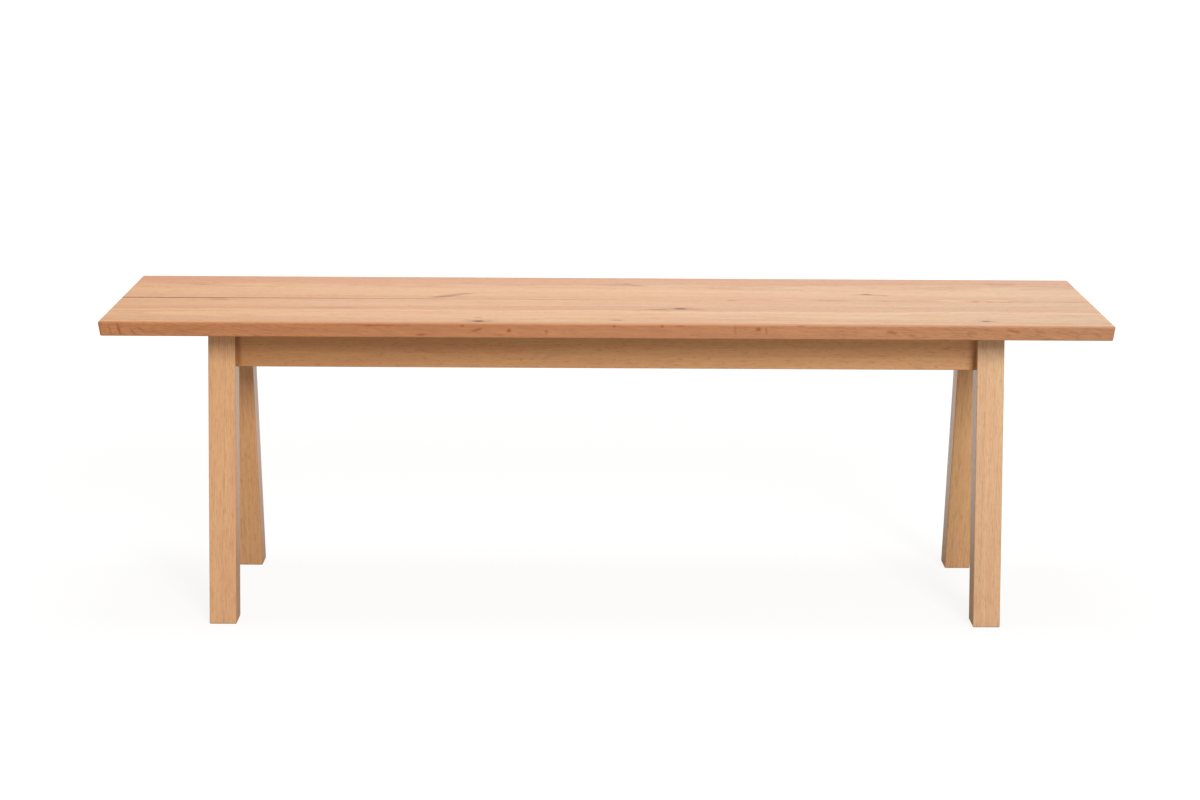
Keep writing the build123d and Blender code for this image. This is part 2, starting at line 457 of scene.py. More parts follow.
class OakMaterial:
    """Material of one board, worked out from its place in the log.

    Every pattern is read in the board's own directions: along the fibres, across the
    broad face and through the board, in millimetres from the board's middle.
    """

    WARP_GRAIN = (120, 40, 40)
    DRIFT_GRAIN = (700, 110, 90)
    DRIFT_WIDTH = 26
    WANDER_GRAIN = (150, 22, 22)
    WANDER_WIDTH = 5
    YEAR_RATE = 0.31
    YEAR_WIDTH = 3.2
    SPRING = (0.0, 0.08)
    SUMMER = (0.25, 0.62)
    HUE_GRAIN = (210, 19, 19)
    ROSY_HUE = (0.5, 0.7)
    STRAW_HUE = (0.3, 0.5)
    NARROW_FACING = (0.15, 0.6)
    FIBRE_GRAIN = (46, 1.6, 1.6)
    CLOUD_GRAIN = (160, 60, 60)
    PORE_GRAIN = (9, 0.36, 0.36)
    RAY_GRAIN = (11, 0.7, 9)
    FIBRE_LIGHT = 0.12
    TONE_LIGHT = 0.08
    CLOUD_LIGHT = 0.06
    DASH_NOISE = (0.5, 0.66)
    FLECK_NOISE = (0.62, 0.7)
    PORE_LEVEL = 0.71
    PORE_LEVEL_OPEN = -0.1
    PORE_LEVEL_DASH = -0.07
    PORE_FADE = 0.07
    PORE_SHARE = 0.5
    FLECK_SHARE = 0.3
    END_SHARE = 0.6
    CLOUD_ROUGH = 0.08
    PORE_ROUGH = 0.2
    FLECK_ROUGH = -0.08
    END_ROUGH = 0.12
    INDEX = 1.5
    PORE_RELIEF = -1.0
    OPEN_RELIEF = -0.25
    FIBRE_RELIEF = 0.3
    RELIEF_STRENGTH = 0.5

    def __init__(self, finish: OakFinish, board: Board) -> None:
        """Makes the material's nodes.

        Args:
            finish: Colours and sheen.
            board: How the board was sawn.
        """
        self.finish = finish
        self.board = board
        self.material, self.graph = new_material(f"{finish.name}_{board.node}")
        low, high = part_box(board.node)
        self.middle = (low + high) / 2
        self.length = Vector(board.cut.value[0]).dot(high - low) / MILLIMETRE
        self.build()

    def place(self) -> Socket:
        """Place on the board along its own directions, in millimetres."""
        turn = tuple(self.board.cut.turn().to_euler())
        return self.graph.local(
            self.graph.surface_place(), tuple(self.middle), turn, (MILLIMETRE,) * 3)

    def facing(self, axis: int, low: float = 0.55, high: float = 0.85) -> Socket:
        """How squarely the surface faces along one of the board's two named directions.

        Args:
            axis: Zero for along the fibres, one for across the broad face.
            low, high: Shares of the direction at which the result leaves zero and reaches one.

        Returns:
            The smooth step between the two.
        """
        graph = self.graph
        normal = graph.node("TexCoord").outputs["Normal"]
        toward = graph.vector("DOT_PRODUCT", normal, self.board.cut.value[axis])
        return graph.rise(graph.math("ABSOLUTE", toward), low, high)

    def rings(self, place: Value) -> tuple[Value, Value, Value, Value]:
        """Growth rings around the log's centre line.

        The ring number is the distance from the centre line over the ring spacing, with
        noise added so that rings wander and differ in width. Its fraction runs from the
        open wood of spring to the dense wood of summer. Each whole number has its own
        random tone.

        Args:
            place: Place on the board.

        Returns:
            The share of open wood, the ring's random tone, and the place around and
            out from the log's centre.
        """
        graph, board = self.graph, self.board
        along, across, through = graph.split(place)
        drift = graph.noise(place, self.DRIFT_GRAIN, board.seed, 1)
        wander = graph.noise(place, self.WANDER_GRAIN, board.seed + 1, 2)
        aside, under = (
            graph.math("SUBTRACT", part, graph.math("MULTIPLY_ADD", along, slope, start))
            for part, slope, start in zip((across, through), board.rise, board.pith))
        radius = graph.total(
            graph.vector("LENGTH", graph.join(aside, under, 0.0)),
            graph.centred(drift, self.DRIFT_WIDTH),
            graph.centred(wander, self.WANDER_WIDTH),
            self.push(),
        )
        number = graph.math("DIVIDE", radius, board.ring)
        year = graph.node("TexNoise", {"W": graph.times(number, self.YEAR_RATE), "Scale": 1.0},
                          noise_dimensions="1D")
        number = graph.math("ADD", number, graph.times(year.outputs[0], self.YEAR_WIDTH))
        season = graph.math("FRACT", number)
        open_wood = graph.times(
            graph.rise(season, *self.SPRING), graph.rise(season, *self.SUMMER, 1.0, 0.0))
        tone = graph.node("TexWhiteNoise", {"W": graph.math("FLOOR", number)}, noise_dimensions="1D")
        around = graph.times(graph.math("ARCTAN2", under, aside), math.hypot(*board.pith))
        return open_wood, tone.outputs[0], around, radius

    def push(self) -> Value:
        """How far the knots push the rings aside: not at all on a clear board."""
        return 0.0

    def patches(self, colour: Value, place: Value) -> Value:
        """Adds the rosy and straw patches, each where a slow noise is high or low.

        Args:
            colour: Colour of the rings.
            place: Place on the board, bent by the sway.

        Returns:
            The colour with its patches.
        """
        graph, finish = self.graph, self.finish
        hue = graph.noise(place, self.HUE_GRAIN, self.board.seed + 3, 2)
        rosy = graph.rise(hue, *self.ROSY_HUE, 0.0, finish.patch)
        straw = graph.rise(hue, *self.STRAW_HUE, finish.patch, 0.0)
        return graph.mix(straw, graph.mix(rosy, colour, finish.rosy), finish.straw)

    def narrow(self, colour: Value, place: Value) -> Value:
        """Tints the narrow faces darker, partly with the wood's tone and partly with painted shade."""
        share = self.graph.times(self.facing(1, *self.NARROW_FACING), self.finish.edge_share)
        return self.graph.mix(share, colour, self.finish.edge)

    def marked(self, colour: Value, place: Value) -> tuple[Value, Value]:
        """The colour with its marks and where they dull the wood: none on a clear board."""
        return colour, 0.0

    def tinted(self, colour: Value, place: Value) -> Value:
        """Multiplies the colour by the board's tint, which drifts from end to end.

        Args:
            colour: Colour of the wood with its marks.
            place: Place on the board.

        Returns:
            The tinted colour.
        """
        graph, board = self.graph, self.board
        if board.tint == board.far_tint:
            return graph.vector("MULTIPLY", colour, board.tint)
        share = graph.math("MULTIPLY_ADD", graph.split(place)[0], 1 / self.length, 0.5)
        return graph.vector("MULTIPLY", colour, graph.mix(share, board.tint, board.far_tint))

    def build(self) -> None:
        """Joins rings, patches, pores, ray flecks, marks and ends into one surface."""
        graph, board, finish = self.graph, self.board, self.finish
        straight = self.place()
        sway = (0, board.sway, board.sway)
        place = graph.warped(straight, self.WARP_GRAIN, board.seed + 0.5, sway)
        open_wood, tone, around, radius = self.rings(place)
        log_place = graph.join(graph.split(place)[0], around, radius)
        dash_length, dash_width = finish.dash_size

        fibre = graph.noise(place, self.FIBRE_GRAIN, board.seed + 4, 3, 0.6)
        cloud = graph.noise(place, self.CLOUD_GRAIN, board.seed + 6, 3)
        pore_noise = graph.noise(place, self.PORE_GRAIN, board.seed + 7, 1)
        ray_noise = graph.noise(log_place, self.RAY_GRAIN, board.seed + 8, 1)
        dash_noise = graph.noise(place, (dash_length, dash_width, dash_width), board.seed + 9, 2)
        dashes = graph.rise(dash_noise, *self.DASH_NOISE)
        level = graph.total(self.PORE_LEVEL, graph.times(open_wood, self.PORE_LEVEL_OPEN),
                            graph.times(dashes, self.PORE_LEVEL_DASH))
        pores = graph.rise(graph.math("SUBTRACT", pore_noise, level), 0.0, self.PORE_FADE)
        flecks = graph.rise(ray_noise, *self.FLECK_NOISE)
        end = self.facing(0)

        colour = graph.mix(graph.times(open_wood, finish.figure), finish.late, finish.early)
        colour = self.narrow(self.patches(colour, place), straight)
        colour = graph.scaled(colour, graph.total(
            1.0, graph.centred(fibre, self.FIBRE_LIGHT), graph.centred(tone, self.TONE_LIGHT),
            graph.centred(cloud, self.CLOUD_LIGHT)))
        colour = graph.mix(graph.times(dashes, finish.dash), colour, finish.row)
        colour = graph.mix(graph.times(pores, self.PORE_SHARE), colour, finish.pore)
        colour = graph.mix(graph.times(flecks, self.FLECK_SHARE), colour, finish.fleck)
        colour = graph.mix(graph.times(end, self.END_SHARE), colour, finish.end)
        colour, dull = self.marked(colour, straight)
        rough = graph.total(
            finish.rough, graph.centred(cloud, self.CLOUD_ROUGH), graph.times(pores, self.PORE_ROUGH),
            graph.times(flecks, self.FLECK_ROUGH), graph.times(end, self.END_ROUGH))
        relief = graph.total(
            graph.times(pores, self.PORE_RELIEF), graph.times(open_wood, self.OPEN_RELIEF),
            graph.times(fibre, self.FIBRE_RELIEF))
        gloss = finish.gloss
        if dull:
            gloss = graph.math("MULTIPLY_ADD", dull, -gloss, gloss)
        look = {"Base Color": self.tinted(colour, straight), "Roughness": rough,
                "IOR": self.INDEX, "Specular IOR Level": gloss}
        graph.finish(look, relief, self.RELIEF_STRENGTH, finish.relief)

    def dress(self) -> None:
        """Gives the material to the board's node."""
        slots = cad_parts[self.board.node].data.materials
        slots.clear()
        slots.append(self.material)
        log.info("dressed %s with %d marks", self.board.node, len(self.board.marks))


class RailMaterial(OakMaterial):
    """Material of a long rail, with painted shade: darker in its corners with the legs and warmer under
    the seat.
    """

    CORNER_SHADE_TINT = (0.66, 0.57, 0.4)
    CORNER_SHADE_START = 1.0
    LEFT_SHADE_REACH = 10.0
    RIGHT_SHADE_REACH = 14.0
    LOWER_LIT_TINT = (0.98, 0.98, 1.09)
    UPPER_SHADE_TINT = (1.06, 1.0, 0.8)
    SHADE_TINT_REACH = 30.0

    def marked(self, colour: Value, place: Value) -> tuple[Value, Value]:
        """Paints light and shade on the rail: warmer towards its upper edge in the shade under the
        seat, and darker at both ends.

        The dark ends are painted shade, darkest at the shoulders, where the legs cast their shadow onto
        the rail.

        Args:
            colour: Colour of the wood.
            place: Place on the rail.

        Returns:
            The colour with its painted light and shade, and nothing that dulls the wood.
        """
        graph, start = self.graph, self.CORNER_SHADE_START
        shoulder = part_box("leg_front_right")[0].x / MILLIMETRE
        along, across, _ = graph.split(place)
        # Painted shade: warmer towards the rail's upper edge, under the seat, and cooler below.
        height = graph.rise(across, -self.SHADE_TINT_REACH, self.SHADE_TINT_REACH)
        colour = graph.vector("MULTIPLY", colour, graph.mix(height, self.LOWER_LIT_TINT, self.UPPER_SHADE_TINT))
        # Painted shade at both ends: the legs' shadow on the rail, darkest at the shoulders.
        left = graph.rise(graph.math("ADD", shoulder, along), start, self.LEFT_SHADE_REACH, 1.0, 0.0)
        right = graph.rise(graph.math("SUBTRACT", shoulder, along), start, self.RIGHT_SHADE_REACH, 1.0, 0.0)
        dark = graph.vector("MULTIPLY", colour, self.CORNER_SHADE_TINT)
        return graph.mix(graph.math("MAXIMUM", left, right), colour, dark), 0.0


class PlankMaterial(OakMaterial):
    """Material of a seat plank, with its bands, knots and mottled front edge, and painted shade in the
    seam and at the front arris.
    """

    SEAT_TOP = 472.0
    FRONT_FACE = -190.0
    DEPTH = 7.0
    PUSH_REACH = 4.0
    BAND_GRAIN = (260, 60, 60)
    BAND_WIDTH = 36
    BAND_FADE = (0.5, 1.3)
    FLECK_FALL = 0.16
    FLECK_GRAIN = (15, 8, 1.7)
    FALLEN_NOISE = (0.5, 0.68)
    FALLEN_SHARE = 0.5
    FLECK_ENDS = (150, 620)
    FLECK_BETWEEN = 0.35
    MOTTLE_GRAIN = (60, 20, 7)
    MOTTLE_LIGHT = 0.34
    RIM_GRAIN = (10, 3, 3)
    RIM_WIDTH = 1.5
    MARK_FADE = (0.35, 1.2)
    HALO_FADE = (0.5, 3.2)
    HALO_SHARE = 0.3
    SEAM_END = 48.5
    SEAM_SLOPE = 1.5 / 800
    SEAM_SHADE_LINE = (1.0, 1.8)
    SEAM_SHADE_RUN = (-750.0, 80.0)
    SEAM_SHADE_BREAKS = (0.3, 0.6, 0.65, 1.0)
    # Painted shade: the dark inside of the seam's gap.
    SEAM_SHADE_COLOUR = shown(120, 58, 30)
    ARRIS_SHADE_WIDTH = 9.0
    ARRIS_SHADE_REACH = 700
    ARRIS_SHADE_LEAST = 1.0
    ARRIS_SHADE_FADE = (0.75, 1.15)
    ARRIS_SHADE_FACING = (0.5, 0.95)
    # Painted shade of the rounded front arris, laid on the top.
    ARRIS_SHADE_COLOUR = shown(206, 142, 96)

    def distance(self, mark: Mark) -> Socket:
        """Distance from a mark's middle in the mark's own half sizes.

        Args:
            mark: The mark.

        Returns:
            The distance, which is one on the mark's rim.
        """
        along, out = mark.at, mark.reach
        if mark.face is Face.TOP:
            place, reach = (*along, self.SEAT_TOP), (*out, self.DEPTH)
        else:
            place, reach = (along[0], self.FRONT_FACE, along[1]), (out[0], self.DEPTH, out[1])
        turn = tuple(math.radians(mark.slant) * part for part in mark.face.value)
        graph = self.graph
        return graph.vector("LENGTH", graph.local(graph.bench_place(), place, turn, reach))

    def push(self) -> Value:
        """Sum of the knots' pushes, each a bell that ends at four times the knot's reach."""
        graph = self.graph
        return graph.total(*(graph.rise(self.distance(mark), 0.0, self.PUSH_REACH, mark.swirl, 0.0)
                             for mark in self.board.marks if mark.swirl))

    def patches(self, colour: Value, place: Value) -> Value:
        """Adds the patches and the bands, each a smooth strip whose rims wander.

        Args:
            colour: Colour of the rings.
            place: Place on the board, bent by the sway.

        Returns:
            The colour with its patches and bands.
        """
        graph, finish = self.graph, self.finish
        colour = super().patches(colour, place)
        wander = graph.noise(place, self.BAND_GRAIN, self.board.seed + 12, 3)
        across = graph.total(graph.split(graph.bench_place())[1],
                             graph.centred(wander, self.BAND_WIDTH))
        for band in self.board.bands:
            away = graph.math("ABSOLUTE", graph.math("SUBTRACT", across, band.middle))
            inner, outer = (band.reach * share for share in self.BAND_FADE)
            inside = graph.rise(away, inner, outer, 1.0, 0.0)
            hue = finish.rosy if band.rosy > 0 else finish.straw
            colour = graph.mix(graph.times(inside, abs(band.rosy)), colour, hue)
            colour = graph.scaled(colour, graph.math("MULTIPLY_ADD", inside, band.light, 1.0))
        return colour

    def narrow(self, colour: Value, place: Value) -> Value:
        """Tints the narrow face, partly with painted shade, and adds its dark flecks.

        The flecks are noise stretched along a line that falls to the right by nine
        degrees. They are strong towards the plank's two ends and faint between.

        Args:
            colour: Colour of the wood.
            place: Place on the board.

        Returns:
            The colour with a tinted, flecked and mottled narrow face.
        """
        graph = self.graph
        colour = super().narrow(colour, place)
        along, across, through = graph.split(place)
        fall = graph.math("MULTIPLY_ADD", along, self.FLECK_FALL, through)
        fallen = graph.join(along, across, fall)
        fleck = graph.noise(fallen, self.FLECK_GRAIN, self.board.seed + 13, 2)
        mottle = graph.noise(fallen, self.MOTTLE_GRAIN, self.board.seed + 14, 2)
        away = graph.math("ABSOLUTE", along)
        towards_end = graph.rise(away, *self.FLECK_ENDS, self.FLECK_BETWEEN, 1.0)
        share = graph.times(
            graph.rise(fleck, *self.FALLEN_NOISE, 0.0, self.FALLEN_SHARE), towards_end)
        facing = self.facing(1)
        colour = graph.mix(graph.times(share, facing), colour, self.finish.pore)
        shade = graph.math("MULTIPLY_ADD", mottle, self.MOTTLE_LIGHT, 1 - self.MOTTLE_LIGHT / 2)
        whole = graph.mix(facing, (1.0, 1.0, 1.0), graph.join(shade, shade, shade))
        return graph.vector("MULTIPLY", colour, whole)

    def marked(self, colour: Value, place: Value) -> tuple[Value, Value]:
        """Adds the marks, and the painted shade at the front arris and along the seam.

        Each mark is full at its middle and fades out over its rim, which a little
        noise makes uneven. A knot has a faint halo of three times its reach.

        Args:
            colour: Colour of the wood.
            place: Place on the board.

        Returns:
            The colour with its marks, and where the dark ones dull the wood.
        """
        graph = self.graph
        rim = graph.noise(place, self.RIM_GRAIN, self.board.seed + 5, 3)
        ragged = graph.centred(rim, self.RIM_WIDTH)
        halo = dull = 0.0
        shares = {}
        for mark in self.board.marks:
            distance = graph.math("ADD", self.distance(mark), ragged)
            share = graph.rise(distance, *self.MARK_FADE, mark.share, 0.0)
            known = shares.get(mark.stain)
            shares[mark.stain] = graph.math("MAXIMUM", known, share) if known else share
            if mark.stain is Stain.KNOT:
                ring = graph.rise(distance, *self.HALO_FADE, self.HALO_SHARE * mark.share, 0.0)
                halo = graph.math("MAXIMUM", halo, ring)
        colour = graph.mix(halo, colour, self.finish.pore)
        for stain, share in shares.items():
            colour = graph.mix(share, colour, stain.value)
            if stain is not Stain.PALE:
                dull = graph.math("MAXIMUM", dull, share)
        return self.seam(self.arris_shade(colour, rim), rim), dull

    def arris_shade(self, colour: Value, rim: Value) -> Value:
        """Paints shade on the top towards its front arris: the shade that the rounded arris shows as it
        turns from the light.

        The dark strip is widest in the middle of the bench and closes near its ends:
        its width falls with the square of the distance from the middle.

        Args:
            colour: Colour of the wood.
            rim: Noise that makes the strip's rim uneven.

        Returns:
            The colour with its strip of painted shade.
        """
        graph = self.graph
        x, y, _ = graph.split(graph.bench_place())
        loss = -self.ARRIS_SHADE_WIDTH / self.ARRIS_SHADE_REACH ** 2
        width = graph.math("MULTIPLY_ADD", graph.times(x, x), loss, self.ARRIS_SHADE_WIDTH)
        uneven = graph.math("MULTIPLY_ADD", rim, self.RIM_WIDTH, width)
        width = graph.math("MAXIMUM", uneven, self.ARRIS_SHADE_LEAST)
        inward = graph.math("DIVIDE", graph.math("SUBTRACT", y, self.FRONT_FACE), width)
        share = graph.rise(inward, *self.ARRIS_SHADE_FADE, self.finish.edge_share, 0.0)
        broad = graph.math("SUBTRACT", 1.0, self.facing(1, *self.ARRIS_SHADE_FACING))
        # Painted shade: the rounded arris's darker look, laid on the top near the front.
        return graph.mix(graph.times(share, broad), colour, self.ARRIS_SHADE_COLOUR)

    def seam(self, colour: Value, rim: Value) -> Value:
        """Paints the shade of the seam's gap on its edge, less and less from the open left end to the
        closed run.

        The line reaches from the seam to a millimetre past the edge of the tapered
        opening and then fades. Its strength falls in a straight line from left to right.

        Args:
            colour: Colour of the wood.
            rim: Noise that breaks the line up.

        Returns:
            The colour with its line of painted shade.
        """
        graph = self.graph
        x, y, _ = graph.split(graph.bench_place())
        taper = graph.math("MULTIPLY_ADD", x, -self.SEAM_SLOPE, self.SEAM_SLOPE * self.SEAM_END)
        opening = graph.math("MAXIMUM", taper, 0.0)
        past = graph.math("SUBTRACT", graph.math("ABSOLUTE", y), opening)
        line = graph.rise(past, *self.SEAM_SHADE_LINE, 1.0, 0.0)
        fall = graph.rise(x, *self.SEAM_SHADE_RUN, 1.0, 0.0, "LINEAR")
        broken = graph.rise(rim, *self.SEAM_SHADE_BREAKS)
        # Painted shade: the dark inside of the gap, laid on the seam's edge.
        return graph.mix(graph.times(graph.times(line, fall), broken), colour, self.SEAM_SHADE_COLOUR)


def marks(stain: Stain, face: Face, *rows: tuple[float, ...]) -> tuple[Mark, ...]:
    """Several marks of one colour on one face.

    Args:
        stain: Their colour.
        face: The face that they lie on.
        rows: For each mark its middle, half its length and width, and its share, then
            its slant and swirl where it has them.

    Returns:
        The marks.
    """
    return tuple(Mark(stain, face, (x, y), (length, width), *rest)
                 for x, y, length, width, *rest in rows)


SEAM_MARKS = (
    *marks(
        Stain.RED, Face.TOP,
        (194, 1, 10, 3, 0.7), (349, 0, 32, 2.6, 0.75), (430, 0, 8, 3, 0.65), (570, -2, 10, 3, 0.8),
        (593, -2, 7, 3, 0.7), (612, -3, 6, 2.8, 0.6), (625, -3, 6, 2.8, 0.6), (723, -2, 14, 2.4, 0.4),
    ),
    *marks(Stain.PALE, Face.TOP,
           (281, 6, 30, 4, 0.5), (535, 5, 32, 5, 0.7, -3), (606, 7, 26, 5, 0.6, -3)),
)
FRONT_MARKS = (
    *marks(
        Stain.KNOT, Face.TOP,
        (-190, -174, 10, 6, 0.9, 0, 3), (79, -78, 20, 3.2, 0.6, 2, 2),
        (112, -71, 12, 5.5, 0.85, 0, 3), (565, -156, 9, 4.5, 0.75, 0, 2),
    ),
    *marks(Stain.RED, Face.TOP, (-192, -148, 9, 4, 0.45), (-417, -77, 45, 4, 0.35)),
    *marks(
        Stain.RED, Face.EDGE,
        (-338, 468, 42, 2, 0.5, -1), (-274, 454, 9, 2.4, 0.65), (-214, 468, 4, 2.2, 0.55),
        (-193, 462, 12, 2.4, 0.6, 17), (-159, 454, 7, 1.8, 0.35), (-145, 461, 4.5, 3.4, 0.75, 30),
        (-90, 459.6, 3.6, 3.2, 0.6), (10, 468.5, 3, 2.4, 0.6), (81, 468.5, 3, 2.4, 0.65),
        (107, 469.5, 9, 1.4, 0.5), (189, 464, 3, 9, 0.35), (223, 465.5, 5, 3.6, 0.85),
        (235, 462, 7, 1.4, 0.6, -80), (286, 470.5, 6, 2, 0.5), (421, 461, 10, 3.2, 0.5, -4),
        (451, 457, 7, 2.6, 0.4), (538, 461, 9, 2, 0.35, -10), (600, 464, 12, 1.8, 0.6, -10),
        (639, 463, 9, 2, 0.5, -10),
    ),
    *marks(Stain.GREY, Face.TOP,
           (-190, -174, 26, 8, 0.35), (13, -161, 13, 4.5, 0.6), (134, -77, 20, 3, 0.4, -6)),
    *marks(Stain.BROWN, Face.TOP, (-597, -13, 26, 7, 0.3, -4)),
    *marks(
        Stain.BROWN, Face.EDGE,
        (-720, 460, 11, 2.6, 0.7, -74), (-733, 458.6, 10, 2.2, 0.35, -74),
        (-700, 457, 8, 1.8, 0.4, -48), (-688, 461, 9, 2.0, 0.35, -30), (-664, 456, 10, 1.8, 0.35, -18),
    ),
    *SEAM_MARKS,
)
REAR_MARKS = (
    *marks(Stain.KNOT, Face.TOP, (-253, 18, 18, 5, 0.4, 16, 3)),
    *marks(
        Stain.GREY, Face.TOP,
        (-241, 31, 34, 9, 0.5, 30), (-222, 43, 18, 8, 0.45, 12), (34, 133, 9, 3.6, 0.6, -8),
        (48, 118, 14, 3.6, 0.7, -6), (16, 126, 40, 12, 0.25), (408, 54, 13, 5.5, 0.75, 0, 2),
        (417, 50, 36, 8, 0.3, -8), (-645, 113, 20, 4.5, 0.3), (-152, 117, 50, 4, 0.3),
        (632, 151, 38, 5, 0.4, 3),
    ),
    *marks(Stain.RED, Face.TOP, (634, 138, 24, 5, 0.2)),
    *SEAM_MARKS,
)


@dataclass(frozen=True)
class Seat:
    """The two planks of the seat and the loose tongue in their seam."""

    boards: tuple[Board, ...] = (
        # Both planks' tints turn from warmer at the left end to paler and cooler at the right: painted
        # sheen that grows towards the right.
        Board(
            "seat_plank_front", Cut.FLAT_ALONG, (-30, -95), 3.1, (0.01, 0.012), 1.0,
            (0.89, 0.85, 0.76), (0.85, 0.94, 1.01), 2.5,
            (Band(-28, 14, 0.15, 0.0), Band(-72, 15, 0.6, -0.03), Band(-96, 8, -0.5, 0.05),
             Band(-125, 16, -0.3, 0.015), Band(-165, 16, 0.1, -0.03)),
            FRONT_MARKS,
        ),
        Board(
            "seat_plank_rear", Cut.FLAT_ALONG, (20, -80), 3.4, (-0.008, 0.014), 2.0,
            (0.89, 0.83, 0.75), (0.88, 0.95, 1.01), 2.5,
            (Band(160, 36, 0.7, -0.05), Band(72, 22, -0.5, 0.03), Band(40, 10, -0.2, 0.015),
             Band(18, 10, 0.2, -0.025)),
            REAR_MARKS,
        ),
    )

    def build(self) -> None:
        """Dresses the planks and the tongue between them."""
        for board in self.boards:
            PlankMaterial(SEAT_OAK, board).dress()
        tongue = Board("seam_spline", Cut.FLAT_ALONG, (40, 60), 2.2, (0, 0), 3.0)
        OakMaterial(SPLINE_OAK, tongue).dress()


@dataclass(frozen=True)
class LegFrame:
    """The legs, the rails between them and the bearer under the seat's middle."""

    boards: tuple[Board, ...] = (
        # Besides the wood's tone, the front legs' tints paint the shade under the seat at their tops:
        # lighter on the right leg, warmer on the left.
        Board("leg_front_left", Cut.FRONT_LEG, (70, 26), 2.6, (0.004, 0.002), 11.0,
              (0.93, 0.91, 0.9), (1.0, 1.0, 0.93)),
        Board("leg_front_right", Cut.FRONT_LEG, (-85, 30), 2.4, (0.003, 0.004), 12.0,
              (0.895, 0.94, 0.99), (0.985, 1.06, 1.09)),
        Board("leg_rear_left", Cut.REAR_LEG, (60, -40), 2.8, (0.005, 0.002), 13.0,
              (0.9, 0.85, 0.8), (1.03, 0.98, 0.87)),
        Board("leg_rear_right", Cut.REAR_LEG, (-64, 38), 2.5, (0.002, 0.004), 14.0,
              (0.94, 0.94, 0.92), (1.06, 1.09, 0.98)),
        # The front rail's tint is painted shade under the seat: warmer and darker than the wood, most
        # at the left end.
        Board("long_rail_front", Cut.LONG_RAIL, (90, 30), 2.5, (0.003, 0.001), 15.0,
              (0.82, 0.69, 0.45), (0.99, 0.92, 0.74), 4.0),
        Board("long_rail_rear", Cut.LONG_RAIL, (-85, 34), 2.7, (0.003, 0.001), 16.0,
              (0.96, 0.9, 0.8), (0.96, 0.9, 0.8), 3.0),
        Board("cross_rail_left", Cut.CROSS_RAIL, (75, 30), 2.5, (0.004, 0.0), 17.0),
        Board("cross_rail_right", Cut.CROSS_RAIL, (-70, 38), 2.6, (0.004, 0.0), 18.0),
        Board("centre_bearer", Cut.FLAT_ACROSS, (60, 50), 2.8, (0.002, 0.0), 19.0),
    )

    def build(self) -> None:
        """Dresses each board, and the long rails with their own kind of material."""
        for board in self.boards:
            kind = RailMaterial if board.cut is Cut.LONG_RAIL else OakMaterial
            kind(FRAME_OAK, board).dress()


@dataclass(frozen=True)
class TurnButtons:
    """The eight oak buttons that hold the seat down on the rails."""

    cuts: tuple[Cut, ...] = (Cut.FLAT_ACROSS,) * 4 + (Cut.FLAT_ALONG,) * 4
    first_seed: float = 20.0

    def build(self) -> None:
        """Dresses each button with its fibres along its tongue."""
        for number, cut in enumerate(self.cuts, start=1):
            board = Board(f"turn_button_{number}", cut, (45, 30), 2.2, (0, 0), self.first_seed + number)
            OakMaterial(BUTTON_OAK, board).dress()


class SteelMaterial:
    """Zinc-plated steel with turning marks, small scratches and dull specks."""

    NAME = "screw_steel_turned"
    DARK_ZINC = shown(188, 186, 178)
    LIGHT_ZINC = shown(214, 214, 208)
    SPECK = shown(122, 116, 104)
    TURNED_GRAIN = (6, 6, 0.12)
    SCRATCH_GRAIN = (0.15, 2.4, 0.8)
    CLOUD_GRAIN = (1.6, 1.6, 1.6)
    SPECK_GRAIN = (0.3, 0.3, 0.3)
    SCRATCH_NOISE = (0.62, 0.7)
    SPECK_NOISE = (0.66, 0.74)
    SPECK_SHARE = 0.5
    ROUGH = 0.24
    TURNED_ROUGH = 0.2
    SCRATCH_ROUGH = 0.15
    SPECK_ROUGH = 0.25
    SCRATCH_RELIEF = -0.6
    RELIEF_STRENGTH = 0.4
    RELIEF = 0.02

    def __init__(self) -> None:
        """Makes the material's nodes."""
        self.material, graph = new_material(self.NAME)
        place = graph.bench_place()
        turned = graph.noise(place, self.TURNED_GRAIN, 31.0, 2)
        scratch = graph.rise(graph.noise(place, self.SCRATCH_GRAIN, 32.0, 1), *self.SCRATCH_NOISE)
        cloud = graph.noise(place, self.CLOUD_GRAIN, 33.0, 3)
        speck = graph.rise(graph.noise(place, self.SPECK_GRAIN, 34.0, 1), *self.SPECK_NOISE)
        colour = graph.mix(cloud, self.DARK_ZINC, self.LIGHT_ZINC)
        colour = graph.mix(graph.times(speck, self.SPECK_SHARE), colour, self.SPECK)
        rough = graph.total(
            self.ROUGH, graph.times(turned, self.TURNED_ROUGH),
            graph.times(scratch, self.SCRATCH_ROUGH), graph.times(speck, self.SPECK_ROUGH))
        relief = graph.total(turned, graph.times(scratch, self.SCRATCH_RELIEF))
        look = {"Metallic": 1.0, "Base Color": colour, "Roughness": rough}
        graph.finish(look, relief, self.RELIEF_STRENGTH, self.RELIEF)


